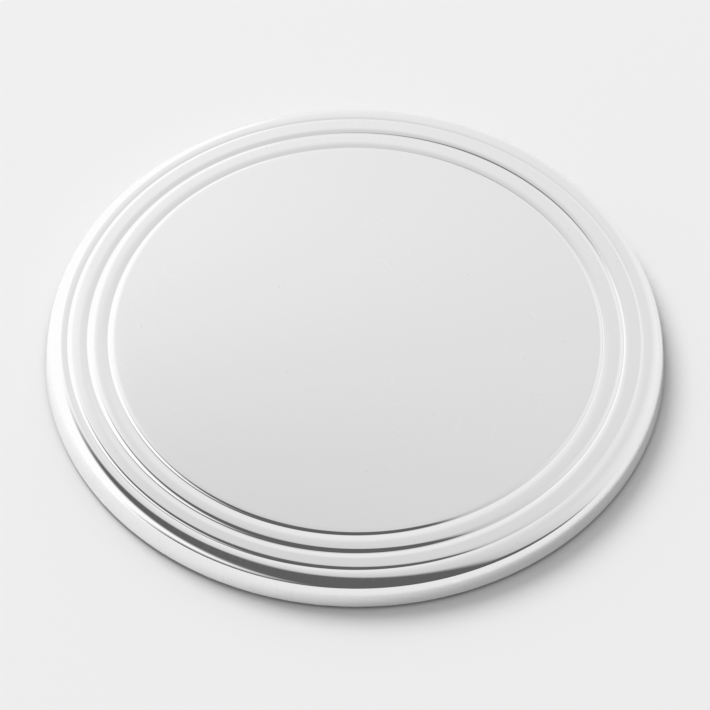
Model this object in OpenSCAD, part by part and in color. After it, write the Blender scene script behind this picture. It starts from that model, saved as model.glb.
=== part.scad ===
// Wine bottle coaster: a polished pressed-metal cap with a raised centre and three rounded tiers,
// hemmed round a stiffening board and standing on a disc of felt.
// The origin is at the middle of the felt's underside, with +Z up and all sizes in millimetres.

/* [Overall] */
// Diameter over the skirt at its widest
coaster_d = 127; // [115:0.5:145]
// Height of the raised centre above the table
coaster_h = 8.1; // [7.5:0.1:11]

/* [Sheet] */
// Thickness of the plated sheet
sheet_t = 0.6; // [0.4:0.05:0.6]

/* [Crowns] */
// Tilt that each tier's brow rolls over to before its tighter lip
brow_turn = 4; // [3:0.5:8]
// Tilt at which each lip meets its groove
lip_turn = 65; // [56:1:67]

/* [Inner tier] */
// Width from the innermost groove to the middle one
inner_tier_w = 4.2; // [3.8:0.05:6]
// Width of the brow at the edge of the raised centre
inner_brow_w = 0.5; // [0.3:0.05:0.8]
// Radius of the lip from that brow down into the innermost groove
inner_lip_r = 0.84; // [0.7:0.02:1]
// Width of the easing from the innermost groove back up to the tier
inner_ease_w = 1.7; // [0.8:0.05:2]
// Rise of that easing
inner_ease_rise = 0.14; // [0.05:0.01:0.25]

/* [Middle tier] */
// Width from the middle groove to the outermost one
middle_tier_w = 4; // [3.8:0.05:6]
// Width of the brow at the edge of the inner tier
middle_brow_w = 0.55; // [0.4:0.05:0.9]
// Radius of the lip from that brow down into the middle groove
middle_lip_r = 1.04; // [0.8:0.02:1.2]
// Width of the easing from the middle groove back up to the tier
middle_ease_w = 1.5; // [0.8:0.05:1.9]
// Rise of that easing
middle_ease_rise = 0.2; // [0.05:0.01:0.3]

/* [Outer tier] */
// Width from the outermost groove to the outside of the skirt
outer_tier_w = 4.3; // [4.1:0.05:6]
// Width of the brow at the edge of the middle tier
outer_brow_w = 0.35; // [0.25:0.05:0.7]
// Radius of the lip from that brow down into the outermost groove
outer_lip_r = 0.72; // [0.67:0.01:0.85]
// Width of the easing from the outermost groove back up to the tier
outer_ease_w = 0.9; // [0.5:0.05:1]
// Rise of that easing
outer_ease_rise = 0.06; // [0.02:0.01:0.12]

/* [Skirt] */
// Radius of the shoulder that turns the outer tier down
shoulder_r = 2.6; // [2.3:0.1:2.9]
// Angle through which the shoulder turns before it eases off
shoulder_turn = 65; // [58:1:70]
// Radius of the fuller curve between the shoulder and the straight skirt
haunch_r = 9.25; // [7:0.25:11]
// Lean of the straight skirt from upright
skirt_lean = 6; // [3:0.5:8]
// Outer radius of the hem at the foot of the skirt
hem_r = 0.9; // [0.85:0.05:1.2]
// Width of the hem's flat, from the outside of the skirt to its inner edge
hem_w = 4; // [3:0.1:6]

/* [Filling] */
// Clearance between the board and the pressed sheet
board_gap = 0.15; // [0.1:0.05:0.3]
// Distance that the bonding sheet keeps inside the raised centre's edge
bond_margin = 2; // [1:0.5:6]

/* [Felt] */
// Thickness of the felt
felt_t = 0.7; // [0.6:0.1:2]
// Thickness of the adhesive film on the felt's back
film_t = 0.1; // [0.05:0.01:0.2]
// Clearance between the felt's edge and the hem
felt_gap = 0.5; // [0.2:0.1:1.5]
// Distance that the film keeps inside the felt's edge
film_margin = 0.3; // [0.1:0.1:1]

/* [Hidden] */

$fn = 180;
arc_step = 4;
upright = 90;
downward = 180;

// Groove, from the centre outwards: tier width, brow width, lip radius, ease width and rise
TIERS = [
  [inner_tier_w, inner_brow_w, inner_lip_r, inner_ease_w, inner_ease_rise],
  [middle_tier_w, middle_brow_w, middle_lip_r, middle_ease_w, middle_ease_rise],
  [outer_tier_w, outer_brow_w, outer_lip_r, outer_ease_w, outer_ease_rise],
];
tier_count = len(TIERS);

coaster_r = coaster_d / 2;
hem_z = felt_t + film_t - sheet_t;
board_z = felt_t + film_t;
hem_inner_r = coaster_r - hem_w;
felt_r = hem_inner_r - felt_gap;

// Direction that faces outwards from a surface tilted this far from level
function facing(tilt) = [sin(tilt), cos(tilt)];

// A crown is a brow and a lip: the brow's radius, and the crown's width and drop into groove i
function brow_r(i) = TIERS[i][1] / sin(brow_turn);
function crown_w(i) = TIERS[i][1] + TIERS[i][2] * (sin(lip_turn) - sin(brow_turn));
function crown_drop(i) = brow_r(i) * (1 - cos(brow_turn)) + TIERS[i][2] * (cos(brow_turn) - cos(lip_turn));

// Radius of groove i, and the heights of the flat inside it and of its floor
function groove_r(i) = i == tier_count ? coaster_r : groove_r(i + 1) - TIERS[i][0];
function tread_z(i) = i == 0 ? coaster_h : valley_z(i - 1) + TIERS[i - 1][4];
function valley_z(i) = tread_z(i) - crown_drop(i);

// The skirt, worked out from the hem upwards
skirt_tilt = upright - skirt_lean;
shoulder_z = tread_z(tier_count);
hem_c = [coaster_r - hem_r, hem_z + hem_r];
skirt_foot = hem_c + hem_r * facing(skirt_tilt);
haunch_room = shoulder_z - shoulder_r * (1 - cos(shoulder_turn)) - skirt_foot.y;
haunch_fit_r = min(haunch_r, haunch_room / (cos(shoulder_turn) - cos(skirt_tilt)));
haunch_end_z = skirt_foot.y + haunch_room - haunch_fit_r * (cos(shoulder_turn) - cos(skirt_tilt));
haunch_end_r = skirt_foot.x - (haunch_end_z - skirt_foot.y) * tan(skirt_lean);
haunch_c = [haunch_end_r, haunch_end_z] - haunch_fit_r * facing(skirt_tilt);
shoulder_c = haunch_c + (haunch_fit_r - shoulder_r) * facing(shoulder_turn);

// An arc is its centre, its radius and the tilts that it starts and ends at; a groove's floor has no radius
function shoulder_arcs() = [
  [shoulder_c, shoulder_r, 0, shoulder_turn],
  [haunch_c, haunch_fit_r, shoulder_turn, skirt_tilt],
];

function groove_arcs(i) =
  let (
    g = groove_r(i),
    lip_r = TIERS[i][2],
    ease_rise = TIERS[i][4],
    next_r = i + 1 == tier_count ? shoulder_c.x : groove_r(i + 1) - crown_w(i + 1),
    ease_w = min(TIERS[i][3], next_r - g),
    ease_turn = 2 * atan2(ease_rise, ease_w),
    ease_r = ease_w / sin(ease_turn),
    brow_c = [g - crown_w(i), tread_z(i) - brow_r(i)]
  ) [
    [brow_c, brow_r(i), 0, brow_turn],
    [brow_c + (brow_r(i) - lip_r) * facing(brow_turn), lip_r, brow_turn, lip_turn],
    [[g, valley_z(i)], 0, lip_turn, -ease_turn],
    [[g + ease_w, tread_z(i + 1) - ease_r], ease_r, -ease_turn, 0],
  ];

function cap_arcs() = concat(
  [for (i = [0:tier_count - 1]) each groove_arcs(i)],
  shoulder_arcs(),
  [[hem_c, hem_r, skirt_tilt, downward]]
);

// Points along the arcs, at a depth inside the polished face
function arc_points(arc, depth) =
  let (
    r = arc[1] - depth,
    steps = r == 0 ? 0 : ceil(abs(arc[3] - arc[2]) / arc_step)
  ) [for (k = [0:steps]) arc[0] + r * facing(arc[2] + (arc[3] - arc[2]) * k / max(steps, 1))];

function skin(arcs, depth) = [for (arc = arcs) each arc_points(arc, depth)];
function reversed(points) = [for (k = [len(points) - 1:-1:0]) points[k]];

module disc(r, z, t) {
  translate([0, 0, z]) cylinder(r = r, h = t);
}

// Polished cap pressed from one sheet, its foot hemmed inwards under the board
module pressed_shell() {
  outside = concat([[0, coaster_h]], skin(cap_arcs(), 0), [[hem_inner_r, hem_z]]);
  inside = concat([[0, coaster_h - sheet_t]], skin(cap_arcs(), sheet_t), [[hem_inner_r, board_z]]);
  color("silver") rotate_extrude() polygon(concat(outside, reversed(inside)));
}

// Foam sheet that bonds the board to the underside of the raised centre
board_top_z = min([for (i = [0:tier_count - 1]) valley_z(i)]) - sheet_t - board_gap;
bond_t = coaster_h - sheet_t - board_top_z;
bond_r = groove_r(0) - crown_w(0) - bond_margin;

module bonding_sheet() {
  color("whitesmoke") disc(bond_r, board_top_z, bond_t);
}

// Fibreboard disc that fills the cap, its upper edge rounded to follow the shoulder
module core_board() {
  edge = reversed(skin(shoulder_arcs(), sheet_t + board_gap));
  foot = [edge[0].x, board_z];
  crown = [0, edge[len(edge) - 1].y];
  color("tan") rotate_extrude() intersection() {
    polygon(concat([[0, board_z], foot], edge, [crown]));
    square([coaster_r, board_top_z]);
  }
}

// Adhesive film on the back of the felt
module adhesive_film() {
  color("khaki") disc(felt_r - film_margin, felt_t, film_t);
}

// Felt disc inside the hem, which the coaster stands on
module base_felt() {
  color("dimgray") disc(felt_r, 0, felt_t);
}

pressed_shell();
bonding_sheet();
core_board();
adhesive_film();
base_felt();
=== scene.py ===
import math

import bmesh
import bpy
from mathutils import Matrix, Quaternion, Vector, noise


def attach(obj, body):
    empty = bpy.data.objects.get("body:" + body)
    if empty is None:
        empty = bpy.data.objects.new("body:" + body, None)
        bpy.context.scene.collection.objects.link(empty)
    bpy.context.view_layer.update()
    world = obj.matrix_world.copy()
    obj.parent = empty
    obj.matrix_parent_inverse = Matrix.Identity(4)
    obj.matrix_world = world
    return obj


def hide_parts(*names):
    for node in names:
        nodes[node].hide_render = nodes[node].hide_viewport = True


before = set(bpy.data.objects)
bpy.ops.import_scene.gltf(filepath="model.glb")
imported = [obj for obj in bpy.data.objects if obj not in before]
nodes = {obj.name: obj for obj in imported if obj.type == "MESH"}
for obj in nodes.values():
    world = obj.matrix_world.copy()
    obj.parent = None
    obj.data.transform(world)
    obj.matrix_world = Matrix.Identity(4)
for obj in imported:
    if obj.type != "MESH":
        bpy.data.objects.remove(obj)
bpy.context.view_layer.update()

# A length that is multiplied by MM is in millimetres, and the others are in metres
MM = 0.001


# Pressed shell
# The cap is one disc of brass sheet, spun and pressed over a former into a flat centre, three rounded
# tiers and a skirt, whose foot is turned in under the board. It is silver plated and polished last.
coaster_r = 63.6
coaster_h = 8.1
sheet_t = 0.6
hem_z = 0.12
hem_r = 0.9
hem_inner_r = 59.5
skirt_tilt = 84
shoulder_r = 2.6
shoulder_turn = 65
haunch_r = 6
flat_rings = (12, 24, 36, 46, 49)
shading_band = 0.04
face_step = 2.2
tight_step = 3.5
lining_step = 9
merge_gap = 0.0005
crease = 30
shell_steps = 288
# For each groove: its radius, the brow's width and turn, the edge's radius and the tilt it ends at, the
# slope's radius and the tilt it ends at, the hollow's radius, the tilt and radius of the rise out of it,
# and the tilt and width of the easing up to the next tier
grooves = [
    (50.82, 0.85, 2.2, 0.25, 29, 2.0, 41, 0.35, 14.0, 1.0, 8.0, 1.75),
    (55.05, 0.7, 2.2, 0.6, 27, 1.75, 45, 0.34, 21.0, 0.9, 10.0, 1.25),
    (59.11, 0.25, 3.0, 0.78, 40, 1.0, 47, 0.22, 9.0, 1.5, 5.0, 1.1),
]


def facing(tilt):
    """Direction, across and up, that a surface tilted this far from level faces."""
    return Vector((math.sin(math.radians(tilt)), math.cos(math.radians(tilt))))


def shell_arcs():
    """The rim from the flat centre to the hem: each arc's centre, radius (below zero where it is hollow),
    first and last tilt; and the points of the sheet's hidden side under the grooves."""
    arcs = []
    lining = []
    tread_z = coaster_h
    for groove in grooves:
        groove_r, brow_w, brow_turn, edge_r, edge_turn, slope_r, slope_turn, hollow_r = groove[:8]
        rise_turn, rise_r, ease_turn, ease_w = groove[8:]
        tilts = [0, brow_turn, edge_turn, slope_turn, -rise_turn, -ease_turn, 0]
        brow_r = brow_w / facing(brow_turn).x
        ease_r = ease_w / facing(ease_turn).x
        radii = [brow_r, edge_r, slope_r, -hollow_r, rise_r, ease_r]
        crown_w = hollow_r * facing(slope_turn).x
        for radius, start, end in zip(radii[:3], tilts, tilts[1:]):
            crown_w += radius * (facing(end).x - facing(start).x)
        point = Vector((groove_r - crown_w, tread_z))
        lining.append(point - Vector((0, sheet_t)))
        for radius, start, end in zip(radii, tilts, tilts[1:]):
            centre = point - radius * facing(start)
            arcs.append((centre, radius, start, end))
            point = centre + radius * facing(end)
            if radius < 0:
                lining.append(centre + (radius - sheet_t) * facing(0))
        lining.append(point - Vector((0, sheet_t)))
        tread_z = point.y
    hem_c = Vector((coaster_r - hem_r, hem_z + hem_r))
    foot = hem_c + hem_r * facing(skirt_tilt)
    shoulder_drop = shoulder_r * (1 - facing(shoulder_turn).y)
    haunch_drop = haunch_r * (facing(shoulder_turn).y - facing(skirt_tilt).y)
    skirt_top_z = tread_z - shoulder_drop - haunch_drop
    skirt_top_r = foot.x - (skirt_top_z - foot.y) * facing(skirt_tilt).y / facing(skirt_tilt).x
    haunch_c = Vector((skirt_top_r, skirt_top_z)) - haunch_r * facing(skirt_tilt)
    shoulder_c = haunch_c + (haunch_r - shoulder_r) * facing(shoulder_turn)
    skirt = [
        (shoulder_c, shoulder_r, 0, shoulder_turn),
        (haunch_c, haunch_r, shoulder_turn, skirt_tilt),
        (hem_c, hem_r, skirt_tilt, 180),
    ]
    return arcs, skirt, lining


def run_to(bm, tip, r, z):
    """Draws a straight line on from the profile's last vertex."""
    tip = bmesh.ops.extrude_vert_indiv(bm, verts=[tip])["verts"][0]
    tip.co = (r * MM, 0, z * MM)
    return tip


def turn_about(bm, tip, centre, degrees, step):
    """Draws an arc on from the profile's last vertex, about a centre."""
    made = bmesh.ops.spin(
        bm, geom=[tip], cent=(centre.x * MM, 0, centre.y * MM), axis=(0, 1, 0),
        angle=math.radians(degrees), steps=max(2, math.ceil(abs(degrees) / step)),
    )
    return [v for v in made["geom_last"] if isinstance(v, bmesh.types.BMVert)][0]


def turned_piece(name, bm, steps):
    """Spins the drawn profile about the coaster's axis into a smooth closed piece."""
    bmesh.ops.spin(
        bm, geom=bm.verts[:] + bm.edges[:], cent=(0, 0, 0), axis=(0, 0, 1),
        angle=2 * math.pi, steps=steps, use_merge=True,
    )
    bmesh.ops.remove_doubles(bm, verts=bm.verts[:], dist=merge_gap * MM)
    bmesh.ops.recalc_face_normals(bm, faces=bm.faces[:])
    for face in bm.faces:
        face.smooth = True
    for edge in bm.edges:
        edge.smooth = len(edge.link_faces) == 2 and edge.calc_face_angle() < math.radians(crease)
    mesh = bpy.data.meshes.new(name)
    bm.to_mesh(mesh)
    bm.free()
    piece = bpy.data.objects.new(name, mesh)
    bpy.context.scene.collection.objects.link(piece)
    return piece


bm = bmesh.new()
tip = bm.verts.new((0, 0, coaster_h * MM))
for r in flat_rings:
    tip = run_to(bm, tip, r, coaster_h)
crowns, skirt, lining = shell_arcs()
for centre, radius, start, end in crowns + skirt:
    first = centre + radius * facing(start)
    if (tip.co - Vector((first.x * MM, 0, first.y * MM))).length > 2 * merge_gap * MM:
        # a narrow band beside each arc keeps the flats flat where the shading runs into the curve
        band_r = first.x - shading_band * facing(start).y
        tip = run_to(bm, tip, band_r, first.y + shading_band * facing(start).x)
        tip = run_to(bm, tip, first.x, first.y)
    tip = turn_about(bm, tip, centre, end - start, face_step if radius > hem_r else tight_step)
tip = run_to(bm, tip, hem_inner_r, hem_z)
tip = run_to(bm, tip, hem_inner_r, hem_z + sheet_t)
for centre, radius, start, end in reversed(skirt):
    inner = centre + (radius - sheet_t) * facing(end)
    tip = run_to(bm, tip, inner.x, inner.y)
    tip = turn_about(bm, tip, centre, start - end, lining_step)
for point in reversed(lining):
    tip = run_to(bm, tip, point.x, point.y)
run_to(bm, tip, 0, coaster_h - sheet_t)
silver_shell = turned_piece("silver_shell", bm, shell_steps)


def colour(code):
    """A colour written as sRGB hex, as the linear colour that Blender's sockets take."""
    channels = [int(code[i:i + 2], 16) / 255 for i in (1, 3, 5)]
    return [c / 12.92 if c <= 0.04045 else ((c + 0.055) / 1.055) ** 2.4 for c in channels] + [1.0]


def add(tree, kind, inputs=None, **settings):
    """Adds a node: its settings, and for each socket a value or the socket that feeds it."""
    node = tree.nodes.new(kind)
    for setting, value in settings.items():
        setattr(node, setting, value)
    for socket, value in (inputs or {}).items():
        if isinstance(value, bpy.types.NodeSocket):
            tree.links.new(value, node.inputs[socket])
        else:
            node.inputs[socket].default_value = value
    return node


# Silver plate, polished on a mop: a mirror with almost no tint. It has hairlines from wiping, finer lines
# across the rim from the mop, a few specks, and a soft unevenness left by the pressing.
silver = bpy.data.materials.new("polished silver plate")
silver.use_nodes = True
tree = silver.node_tree
shader = tree.nodes["Principled BSDF"]
place = add(tree, "ShaderNodeTexCoord")
# hairlines are about 0.02 mm wide and up to 7 mm long, and lie in patches; drawn at about 0.15 mm, from
# noise 0.4 mm across, so that they show
hair_w = 0.4
hair_l = 7
patches = add(
    tree, "ShaderNodeTexNoise", {"Vector": place.outputs["Object"], "Scale": 1 / (22 * MM), "Detail": 1}
)
patch = add(
    tree, "ShaderNodeMapRange", {"Value": patches.outputs["Fac"], "From Min": 0.45, "From Max": 0.65}
)
hairlines = []
for turn, density in ((-38, 0.69), (12, 0.7), (74, 0.7)):
    wiped = add(
        tree, "ShaderNodeMapping",
        {"Vector": place.outputs["Object"], "Rotation": (0, 0, math.radians(turn))},
    )
    drawn = add(
        tree, "ShaderNodeVectorMath",
        {0: wiped.outputs["Vector"], 1: (1 / hair_w, 1 / hair_l, 1 / hair_l)}, operation="MULTIPLY",
    )
    hairs = add(
        tree, "ShaderNodeTexNoise",
        {"Vector": drawn.outputs["Vector"], "Scale": 1 / MM, "Detail": 1, "Distortion": 0.15},
    )
    hairlines.append(add(
        tree, "ShaderNodeMapRange",
        {"Value": hairs.outputs["Fac"], "From Min": density, "From Max": density + 0.1},
    ).outputs["Result"])
crossed = add(tree, "ShaderNodeMath", {0: hairlines[0], 1: hairlines[1]}, operation="MAXIMUM")
every_hair = add(tree, "ShaderNodeMath", {0: crossed.outputs[0], 1: hairlines[2]}, operation="MAXIMUM")
hairline = add(
    tree, "ShaderNodeMath", {0: every_hair.outputs[0], 1: patch.outputs["Result"]}, operation="MULTIPLY"
)
# the mop's lines run across the rim, about 0.5 mm apart and some 2.5 mm long
mop_gap = 0.5
mop_l = 2.5
split = add(tree, "ShaderNodeSeparateXYZ", {"Vector": place.outputs["Object"]})
round_it = add(
    tree, "ShaderNodeMath", {0: split.outputs["Y"], 1: split.outputs["X"]}, operation="ARCTAN2"
)
along_rim = add(
    tree, "ShaderNodeMath", {0: round_it.outputs[0], 1: coaster_r / mop_gap}, operation="MULTIPLY"
)
out_from_axis = add(tree, "ShaderNodeVectorMath", {0: place.outputs["Object"]}, operation="LENGTH")
across_rim = add(
    tree, "ShaderNodeMath", {0: out_from_axis.outputs["Value"], 1: 1 / (mop_l * MM)}, operation="MULTIPLY"
)
mopped = add(
    tree, "ShaderNodeCombineXYZ", {"X": along_rim.outputs[0], "Y": across_rim.outputs[0]}
)
mop_lines = add(
    tree, "ShaderNodeTexNoise",
    {"Vector": mopped.outputs["Vector"], "Scale": 1, "Detail": 2, "Roughness": 0.6},
)
on_rim = add(
    tree, "ShaderNodeMapRange",
    {"Value": out_from_axis.outputs["Value"], "From Min": 47 * MM, "From Max": 50 * MM},
)
scuffed = add(
    tree, "ShaderNodeMapRange", {"Value": mop_lines.outputs["Fac"], "From Min": 0.56, "From Max": 0.76}
)
scuff = add(
    tree, "ShaderNodeMath",
    {0: scuffed.outputs["Result"], 1: on_rim.outputs["Result"]}, operation="MULTIPLY",
)
# specks about 0.3 mm across and some 27 mm apart
specks = add(
    tree, "ShaderNodeTexVoronoi", {"Vector": place.outputs["Object"], "Scale": 1 / (27 * MM)},
    voronoi_dimensions="2D",
)
speck = add(
    tree, "ShaderNodeMapRange",
    {"Value": specks.outputs["Distance"], "From Min": 0.007, "From Max": 0.004},
)
tone = add(
    tree, "ShaderNodeMix",
    {0: hairline.outputs[0], 6: colour("#fafafa"), 7: colour("#ffffff")}, data_type="RGBA",
)
spotted = add(
    tree, "ShaderNodeMix",
    {0: speck.outputs["Result"], 6: tone.outputs[2], 7: colour("#e8e8e8")}, data_type="RGBA",
)
# the turned hem is out of the mop's reach, so it is dull; its foot is also painted darker, unevenly round
# the bend and darkest on its flat, which is painted shade along the line where the hem meets the table
foot_shade_wobble = add(
    tree, "ShaderNodeTexNoise",
    {"Vector": place.outputs["Object"], "Scale": 1 / (2 * MM), "Detail": 3, "Roughness": 0.6},
)
foot_shade_z = add(
    tree, "ShaderNodeMath",
    {0: foot_shade_wobble.outputs["Fac"], 1: 0.4 * MM, 2: split.outputs["Z"]}, operation="MULTIPLY_ADD",
)
# painted shade: below about 1 mm, with an uneven edge, the foot is painted darker and made duller
dull_and_shaded_foot = add(
    tree, "ShaderNodeMapRange",
    {"Value": foot_shade_z.outputs[0], "From Min": 1.22 * MM, "From Max": 0.9 * MM},
    interpolation_type="SMOOTHSTEP",
)
# painted shade: the hem's flat, which lies against the table, is painted darkest
shaded_hem_flat = add(
    tree, "ShaderNodeMapRange", {"Value": split.outputs["Z"], "From Min": 0.3 * MM, "From Max": 0.15 * MM}
)
foot_shade_tone = add(
    tree, "ShaderNodeMix",
    {0: shaded_hem_flat.outputs["Result"], 6: colour("#585856"), 7: colour("#b9b8b4")}, data_type="RGBA",
)
# the painted shade at the foot is mixed into the plate's colour here
plate = add(
    tree, "ShaderNodeMix",
    {0: dull_and_shaded_foot.outputs["Result"], 6: spotted.outputs[2], 7: foot_shade_tone.outputs[2]}, data_type="RGBA",
)
tree.links.new(plate.outputs[2], shader.inputs["Base Color"])
rubbed = add(tree, "ShaderNodeMath", {0: scuff.outputs[0], 1: dull_and_shaded_foot.outputs["Result"]}, operation="MAXIMUM")
gloss = add(
    tree, "ShaderNodeMapRange", {"Value": rubbed.outputs[0], "To Min": 0.03, "To Max": 0.12}
)
tree.links.new(gloss.outputs["Result"], shader.inputs["Roughness"])
# the mop's lines scatter a little of the light that falls on them, which shows as haze in dark reflections
haze = add(
    tree, "ShaderNodeMapRange", {"Value": scuff.outputs[0], "To Min": 1, "To Max": 0.96}
)
tree.links.new(haze.outputs["Result"], shader.inputs["Metallic"])
# the pressing leaves the sheet uneven by some ten-thousandths of a millimetre over a few millimetres
uneven = add(
    tree, "ShaderNodeTexNoise", {"Vector": place.outputs["Object"], "Scale": 1 / (4 * MM), "Detail": 1}
)
ripple = add(
    tree, "ShaderNodeBump", {"Height": uneven.outputs["Fac"], "Distance": 0.004 * MM, "Strength": 1}
)
tree.links.new(ripple.outputs["Normal"], shader.inputs["Normal"])
silver_shell.data.materials.append(silver)
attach(silver_shell, "root")
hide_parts("pressed_shell")


# Bonding sheet
# A die-cut disc of closed-cell foam with adhesive on both faces, pressed between the flat centre and
# the board so that the centre doesn't ring. It is shut inside the shell.
foam = bpy.data.materials.new("closed-cell polyethylene foam")
foam.use_nodes = True
tree = foam.node_tree
shader = tree.nodes["Principled BSDF"]
shader.inputs["Roughness"].default_value = 0.75
shader.inputs["IOR"].default_value = 1.51
place = add(tree, "ShaderNodeTexCoord")
# cells about 0.6 mm across, which show as a pebbled skin
cells = add(tree, "ShaderNodeTexVoronoi", {"Vector": place.outputs["Object"], "Scale": 1 / (0.6 * MM)})
tone = add(
    tree, "ShaderNodeMix",
    {0: cells.outputs["Distance"], 6: colour("#f0efe9"), 7: colour("#d8d7d0")}, data_type="RGBA",
)
tree.links.new(tone.outputs[2], shader.inputs["Base Color"])
pebble = add(
    tree, "ShaderNodeBump",
    {"Height": cells.outputs["Distance"], "Distance": 0.1 * MM, "Strength": 0.6}, invert=True,
)
tree.links.new(pebble.outputs["Normal"], shader.inputs["Normal"])
nodes["bonding_sheet"].data.materials.clear()
nodes["bonding_sheet"].data.materials.append(foam)


# Core board
# A disc of medium-density fibreboard, turned round at its upper edge to follow the shoulder and laid
# into the shell before the hem is closed over it. It gives the coaster its weight and keeps it flat.
board = bpy.data.materials.new("medium-density fibreboard")
board.use_nodes = True
tree = board.node_tree
shader = tree.nodes["Principled BSDF"]
shader.inputs["Roughness"].default_value = 0.82
place = add(tree, "ShaderNodeTexCoord")
# fibre bundles about 0.4 mm across and longer in the plane of the board than through it
bundles = add(
    tree, "ShaderNodeVectorMath", {0: place.outputs["Object"], 1: (1, 1, 3)}, operation="MULTIPLY"
)
fibres = add(
    tree, "ShaderNodeTexNoise",
    {"Vector": bundles.outputs["Vector"], "Scale": 1 / (0.8 * MM), "Detail": 4, "Roughness": 0.65},
)
tone = add(
    tree, "ShaderNodeMix",
    {0: fibres.outputs["Fac"], 6: colour("#8f6c46"), 7: colour("#c29b6c")}, data_type="RGBA",
)
tree.links.new(tone.outputs[2], shader.inputs["Base Color"])
sanding = add(
    tree, "ShaderNodeBump", {"Height": fibres.outputs["Fac"], "Distance": 0.05 * MM, "Strength": 0.5}
)
tree.links.new(sanding.outputs["Normal"], shader.inputs["Normal"])
nodes["core_board"].data.materials.clear()
nodes["core_board"].data.materials.append(board)


# Adhesive film
# A transfer film of acrylic adhesive, 0.1 mm thick, rolled onto the back of the felt before that is cut.
# It holds the felt to the board.
tack = bpy.data.materials.new("acrylic transfer adhesive")
tack.use_nodes = True
tree = tack.node_tree
shader = tree.nodes["Principled BSDF"]
shader.inputs["IOR"].default_value = 1.47
place = add(tree, "ShaderNodeTexCoord")
# streaks from the roller, about 3 mm apart
rolled = add(
    tree, "ShaderNodeVectorMath", {0: place.outputs["Object"], 1: (1, 0.1, 1)}, operation="MULTIPLY"
)
streaks = add(
    tree, "ShaderNodeTexNoise", {"Vector": rolled.outputs["Vector"], "Scale": 1 / (3 * MM), "Detail": 2}
)
tone = add(
    tree, "ShaderNodeMix",
    {0: streaks.outputs["Fac"], 6: colour("#d9cfae"), 7: colour("#e6dfc6")}, data_type="RGBA",
)
tree.links.new(tone.outputs[2], shader.inputs["Base Color"])
wetness = add(
    tree, "ShaderNodeMapRange", {"Value": streaks.outputs["Fac"], "To Min": 0.15, "To Max": 0.4}
)
tree.links.new(wetness.outputs["Result"], shader.inputs["Roughness"])
nodes["adhesive_film"].data.materials.clear()
nodes["adhesive_film"].data.materials.append(tack)


# Felt
# A disc of pressed wool felt, die cut and stuck to the board inside the hem, so that the coaster stands
# on cloth and the metal stays clear of the table. Its cut edge is slightly furry.
felt_gap = 0.5
felt_r = hem_inner_r - felt_gap
felt_t = 0.7
felt_edge = 0.12
felt_rings = range(2, 58, 2)
felt_edge_rings = (0.3, 0.5)
felt_steps = 360
fray = 0.05
nap_rise = 0.03
bm = bmesh.new()
tip = bm.verts.new((0, 0, 0))
for r in felt_rings:
    tip = run_to(bm, tip, r, 0)
tip = run_to(bm, tip, felt_r - felt_edge, 0)
tip = turn_about(bm, tip, Vector((felt_r - felt_edge, felt_edge)), -90, 30)
for z in felt_edge_rings:
    tip = run_to(bm, tip, felt_r, z)
tip = run_to(bm, tip, felt_r, felt_t - felt_edge)
tip = turn_about(bm, tip, Vector((felt_r - felt_edge, felt_t - felt_edge)), -90, 30)
run_to(bm, tip, 0, felt_t)
felt_disc = turned_piece("felt_disc", bm, felt_steps)
# the fibres pull the cut edge in and out by some hundredths of a millimetre, and leave the face uneven
for vert in felt_disc.data.vertices:
    pull = noise.fractal(vert.co / (0.9 * MM), 0.6, 2, 3)
    across = Vector((vert.co.x, vert.co.y, 0))
    if across.length > (felt_r - 1) * MM:
        vert.co -= across.normalized() * (fray + fray * pull) * MM
    elif vert.co.z < 0.01 * MM and across.length > 1 * MM:
        vert.co.z += max(0, nap_rise * pull) * MM

# Wool felt: no weave, but a mat of fine crossing fibres with a soft sheen at grazing angles
felt = bpy.data.materials.new("pressed wool felt")
felt.use_nodes = True
tree = felt.node_tree
shader = tree.nodes["Principled BSDF"]
shader.inputs["Roughness"].default_value = 0.95
shader.inputs["Specular IOR Level"].default_value = 0.2
shader.inputs["Sheen Weight"].default_value = 0.35
shader.inputs["Sheen Roughness"].default_value = 0.6
place = add(tree, "ShaderNodeTexCoord")
# wool fibres are about 0.03 mm thick; drawn as tufts 0.35 mm across so that they show
tufts = add(
    tree, "ShaderNodeTexNoise",
    {"Vector": place.outputs["Object"], "Scale": 1 / (0.35 * MM), "Detail": 5, "Roughness": 0.7,
     "Distortion": 1.5},
)
mottle = add(
    tree, "ShaderNodeTexNoise", {"Vector": place.outputs["Object"], "Scale": 1 / (9 * MM), "Detail": 2}
)
cloth = add(
    tree, "ShaderNodeMix",
    {0: tufts.outputs["Fac"], 6: colour("#1d1d1f"), 7: colour("#464649")}, data_type="RGBA",
)
tone = add(
    tree, "ShaderNodeMix",
    {0: mottle.outputs["Fac"], 6: cloth.outputs[2], 7: colour("#2b2b2d")}, data_type="RGBA",
)
tree.links.new(tone.outputs[2], shader.inputs["Base Color"])
nap = add(
    tree, "ShaderNodeBump", {"Height": tufts.outputs["Fac"], "Distance": 0.15 * MM, "Strength": 0.8}
)
tree.links.new(nap.outputs["Normal"], shader.inputs["Normal"])
felt_disc.data.materials.append(felt)
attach(felt_disc, "root")
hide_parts("base_felt")


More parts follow.
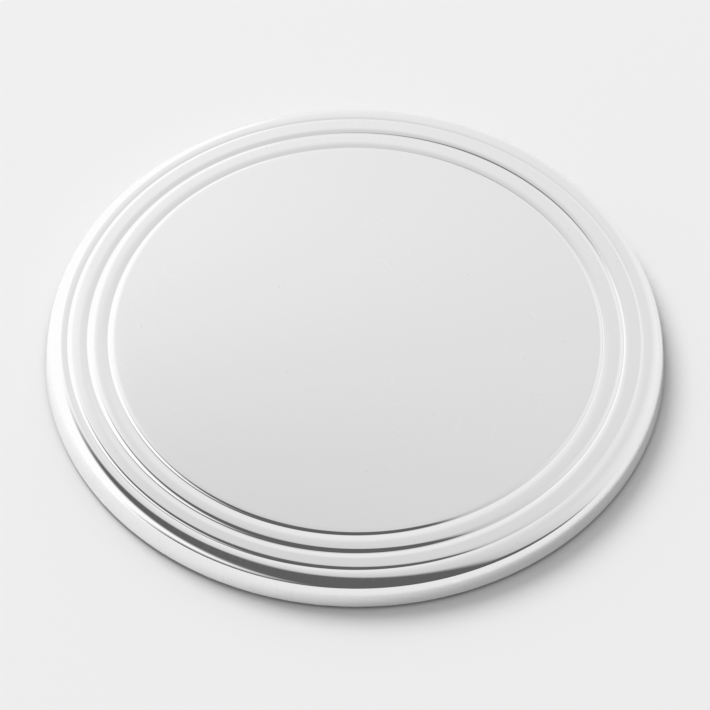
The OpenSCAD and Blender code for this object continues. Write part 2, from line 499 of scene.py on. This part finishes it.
# Table
# A wide white-painted table top, matt, which the coaster lies on. It is drawn a hair below the felt's
# fibres, so that the two faces don't run into each other.
table_drop = 0.03
table_half_w = 4
table_painted_sheen = 0.16
bm = bmesh.new()
bmesh.ops.create_grid(bm, x_segments=1, y_segments=1, size=table_half_w)
bmesh.ops.translate(bm, verts=bm.verts[:], vec=(0, 0, -table_drop * MM))
mesh = bpy.data.meshes.new("table_top")
bm.to_mesh(mesh)
bm.free()
table_top = bpy.data.objects.new("table_top", mesh)
bpy.context.scene.collection.objects.link(table_top)
paint = bpy.data.materials.new("matt white paint")
paint.use_nodes = True
tree = paint.node_tree
shader = tree.nodes["Principled BSDF"]
shader.inputs["Base Color"].default_value = colour("#f2f2f2")
shader.inputs["Roughness"].default_value = 1
shader.inputs["Specular IOR Level"].default_value = 0
# painted sheen: seen low across the table, as the polish sees it, the paint is given a white glow on the
# window's side, which only reflected rays meet
place = add(tree, "ShaderNodeTexCoord")
to_window = add(
    tree, "ShaderNodeVectorMath", {0: place.outputs["Object"], 1: (-0.95, 0.3, 0)}, operation="DOT_PRODUCT"
)
painted_sheen = add(
    tree, "ShaderNodeMapRange",
    {"Value": to_window.outputs["Value"], "From Min": 40 * MM, "From Max": 75 * MM,
     "To Max": table_painted_sheen},
    interpolation_type="SMOOTHSTEP",
)
path = add(tree, "ShaderNodeLightPath")
painted_sheen_in_polish = add(
    tree, "ShaderNodeMath",
    {0: painted_sheen.outputs["Result"], 1: path.outputs["Is Glossy Ray"]}, operation="MULTIPLY",
)
# the painted sheen is a glow of the paint itself, not a lamp
shader.inputs["Emission Color"].default_value = (1, 1, 1, 1)
tree.links.new(painted_sheen_in_polish.outputs[0], shader.inputs["Emission Strength"])
table_top.data.materials.append(paint)


# Room round the coaster
# Only the polish sees it: a pale tent behind and to the right, the unlit side of the room in front and
# overhead, and a white window on the left. Strength 1 is white.
room_r = 0.6
room_foot = -0.002
window_white = 1.03
unlit_low = 0.095
unlit_gain = 0.02
# the tent cloth's glow straight overhead, and how much it gains to the right and behind and loses in front
cloth_overhead = 0.57
cloth_rightwards = 0.26
cloth_behind = 0.198
cloth_before = 0.321
bm = bmesh.new()
bmesh.ops.create_uvsphere(bm, u_segments=64, v_segments=32, radius=room_r)
bmesh.ops.bisect_plane(
    bm, geom=bm.verts[:] + bm.edges[:] + bm.faces[:], plane_co=(0, 0, room_foot), plane_no=(0, 0, -1),
    clear_outer=True,
)
for face in bm.faces:
    face.smooth = True
mesh = bpy.data.meshes.new("room_dome")
bm.to_mesh(mesh)
bm.free()
room_dome = bpy.data.objects.new("room_dome", mesh)
bpy.context.scene.collection.objects.link(room_dome)
room_dome.visible_camera = False
room_dome.visible_diffuse = False
room_dome.visible_transmission = False
room_dome.visible_volume_scatter = False
room_dome.visible_shadow = False
room = bpy.data.materials.new("room seen in the polish")
room.use_nodes = True
room.cycles.emission_sampling = "NONE"
tree = room.node_tree
tree.nodes.clear()
place = add(tree, "ShaderNodeTexCoord")
ray = add(tree, "ShaderNodeVectorMath", {0: place.outputs["Object"]}, operation="NORMALIZE")
# each edge in the room is a smooth step along a direction, from one distance to another
edge = {}
for name, direction, start, end in (
    ("above the skirting", (0, 0, 1), 0.02, 0.1),
    ("tent foot", (0, 0.8, 1), -0.268, -0.048),
    ("tent side", (0.797, 0.5, 0.17), 0.15, 0.309),
    ("tent roof", (1, -0.016, 0), -0.169, -0.023),
    ("tent back", (0.102, 1, 0), 0.315, 0.515),
    ("window head", (-0.004, -0.117, 0.977), 0.784, 0.646),
    ("window front", (0.729, 0.124, 0.5), -0.126, -0.346),
    ("window back", (1, 0, 0), 0.35, -0.45),
    ("sill height", (0, 0, 1), 0.453, 0.052),
    ("sill front", (0, 1, 0), -0.235, -0.627),
    ("towards the back", (0, 1, 0), -0.747, 0.151),
    ("low light height", (0, 0, 1), 0.5, 0.1),
    ("low light side", (1, 0, 0), 0.12, -0.32),
    ("low light back", (0, 1, 0), -0.1, 0.4),
    ("far jamb", (1, 0, 0), -0.06, -0.157),
    ("far head", (0, -0.117, 0.977), 0.8, 0.68),
):
    along = add(
        tree, "ShaderNodeVectorMath", {0: ray.outputs["Vector"], 1: direction}, operation="DOT_PRODUCT"
    )
    edge[name] = add(
        tree, "ShaderNodeMapRange",
        {"Value": along.outputs["Value"], "From Min": start, "From Max": end},
        interpolation_type="SMOOTHSTEP",
    ).outputs["Result"]
split = add(tree, "ShaderNodeSeparateXYZ", {"Vector": ray.outputs["Vector"]})
behind = add(tree, "ShaderNodeMath", {0: split.outputs["Y"], 1: 0}, operation="MAXIMUM")
before = add(tree, "ShaderNodeMath", {0: split.outputs["Y"], 1: 0}, operation="MINIMUM")
rightwards = add(
    tree, "ShaderNodeMath",
    {0: split.outputs["X"], 1: cloth_rightwards, 2: cloth_overhead}, operation="MULTIPLY_ADD",
)
backwards = add(
    tree, "ShaderNodeMath",
    {0: behind.outputs[0], 1: cloth_behind, 2: rightwards.outputs[0]}, operation="MULTIPLY_ADD",
)
cloth_glow = add(
    tree, "ShaderNodeMath",
    {0: before.outputs[0], 1: cloth_before, 2: backwards.outputs[0]}, operation="MULTIPLY_ADD",
)
unlit = add(
    tree, "ShaderNodeMath",
    {0: edge["above the skirting"], 1: unlit_gain, 2: unlit_low}, operation="MULTIPLY_ADD",
)
flank = add(tree, "ShaderNodeMath", {0: edge["tent side"], 1: edge["tent roof"]}, operation="MINIMUM")
tent = add(tree, "ShaderNodeMath", {0: flank.outputs[0], 1: edge["tent back"]}, operation="MAXIMUM")
tent_wall = add(tree, "ShaderNodeMath", {0: tent.outputs[0], 1: edge["tent foot"]}, operation="MULTIPLY")
walls = add(
    tree, "ShaderNodeMix",
    {0: tent_wall.outputs[0], 2: unlit.outputs[0], 3: cloth_glow.outputs[0]}, data_type="FLOAT",
)
sill = add(tree, "ShaderNodeMath", {0: edge["sill height"], 1: edge["sill front"]}, operation="MULTIPLY")
over_sill = add(tree, "ShaderNodeMath", {0: 1, 1: sill.outputs[0]}, operation="SUBTRACT")
jambs = add(
    tree, "ShaderNodeMix",
    {0: edge["towards the back"], 2: edge["window front"], 3: edge["window back"]}, data_type="FLOAT",
)
opening = add(
    tree, "ShaderNodeMath", {0: edge["window head"], 1: over_sill.outputs[0]}, operation="MULTIPLY"
)
window = add(tree, "ShaderNodeMath", {0: opening.outputs[0], 1: jambs.outputs[0]}, operation="MULTIPLY")
low = add(
    tree, "ShaderNodeMath", {0: edge["low light height"], 1: edge["low light side"]}, operation="MULTIPLY"
)
low_light = add(
    tree, "ShaderNodeMath", {0: low.outputs[0], 1: edge["low light back"]}, operation="MULTIPLY"
)
# the window's far pane has a firm edge, which draws the white lines on the tiers at the left
far = add(tree, "ShaderNodeMath", {0: edge["far jamb"], 1: edge["tent back"]}, operation="MULTIPLY")
far_pane = add(tree, "ShaderNodeMath", {0: far.outputs[0], 1: edge["far head"]}, operation="MULTIPLY")
panes = add(tree, "ShaderNodeMath", {0: window.outputs[0], 1: far_pane.outputs[0]}, operation="MAXIMUM")
bright = add(tree, "ShaderNodeMath", {0: panes.outputs[0], 1: low_light.outputs[0]}, operation="MAXIMUM")
seen = add(
    tree, "ShaderNodeMix",
    {0: bright.outputs[0], 2: walls.outputs[0], 3: window_white}, data_type="FLOAT",
)
glow = add(tree, "ShaderNodeEmission", {"Strength": seen.outputs[0]})
add(tree, "ShaderNodeOutputMaterial", {"Surface": glow.outputs["Emission"]})
room_dome.data.materials.append(room)


# Light
# Even light from all round, and a large soft lamp high at the back left, which throws the short shadow
# to the front and right. The polish doesn't see the lamp.
fill_level = 0.555
fill_gain = 0.22
backdrop_white = 0.88
world = bpy.data.worlds.new("even light")
bpy.context.scene.world = world
world.use_nodes = True
tree = world.node_tree
backdrop = tree.nodes["Background"]
place = add(tree, "ShaderNodeTexCoord")
# the room's light is stronger from the lamp's side than from the front right
sided = add(
    tree, "ShaderNodeVectorMath",
    {0: place.outputs["Generated"], 1: (-0.65, 0.76, 0)}, operation="DOT_PRODUCT",
)
fill = add(
    tree, "ShaderNodeMath",
    {0: sided.outputs["Value"], 1: fill_gain, 2: fill_level}, operation="MULTIPLY_ADD",
)
path = add(tree, "ShaderNodeLightPath")
level = add(
    tree, "ShaderNodeMix",
    {0: path.outputs["Is Camera Ray"], 2: fill.outputs[0], 3: backdrop_white}, data_type="FLOAT",
)
backdrop.inputs["Color"].default_value = (1, 1, 1, 1)
tree.links.new(level.outputs[0], backdrop.inputs["Strength"])
key = bpy.data.lights.new("soft lamp", "AREA")
key.shape = "DISK"
key.size = 3.6
key.energy = 246
key_lamp = bpy.data.objects.new("soft lamp", key)
key_lamp.location = (-2.8, 3.4, 4.6)
key_lamp.rotation_euler = (-key_lamp.location).to_track_quat("-Z", "Y").to_euler()
key_lamp.visible_glossy = False
key_lamp.visible_camera = False
bpy.context.scene.collection.objects.link(key_lamp)


# Camera
# A long lens from the front, 51.6 degrees above the table, held very slightly askew.
camera = bpy.data.cameras.new("camera")
camera.sensor_width = 36
camera.lens = 443.5
distance = 1.8
roll = math.radians(0.6)
tilt = math.radians(51.6)
look = Vector((0, math.cos(tilt), -math.sin(tilt)))
above = Vector((0, math.sin(tilt), math.cos(tilt)))
aim = Vector((-0.04 * MM, 0, 0)) + above * 1.39 * MM
viewer = bpy.data.objects.new("camera", camera)
viewer.location = aim - look * distance
level_view = look.to_track_quat("-Z", "Y")
viewer.rotation_euler = (level_view @ Quaternion((0, 0, 1), roll)).to_euler()
bpy.context.scene.collection.objects.link(viewer)
bpy.context.scene.camera = viewer
bpy.context.scene.view_settings.view_transform = "Standard"
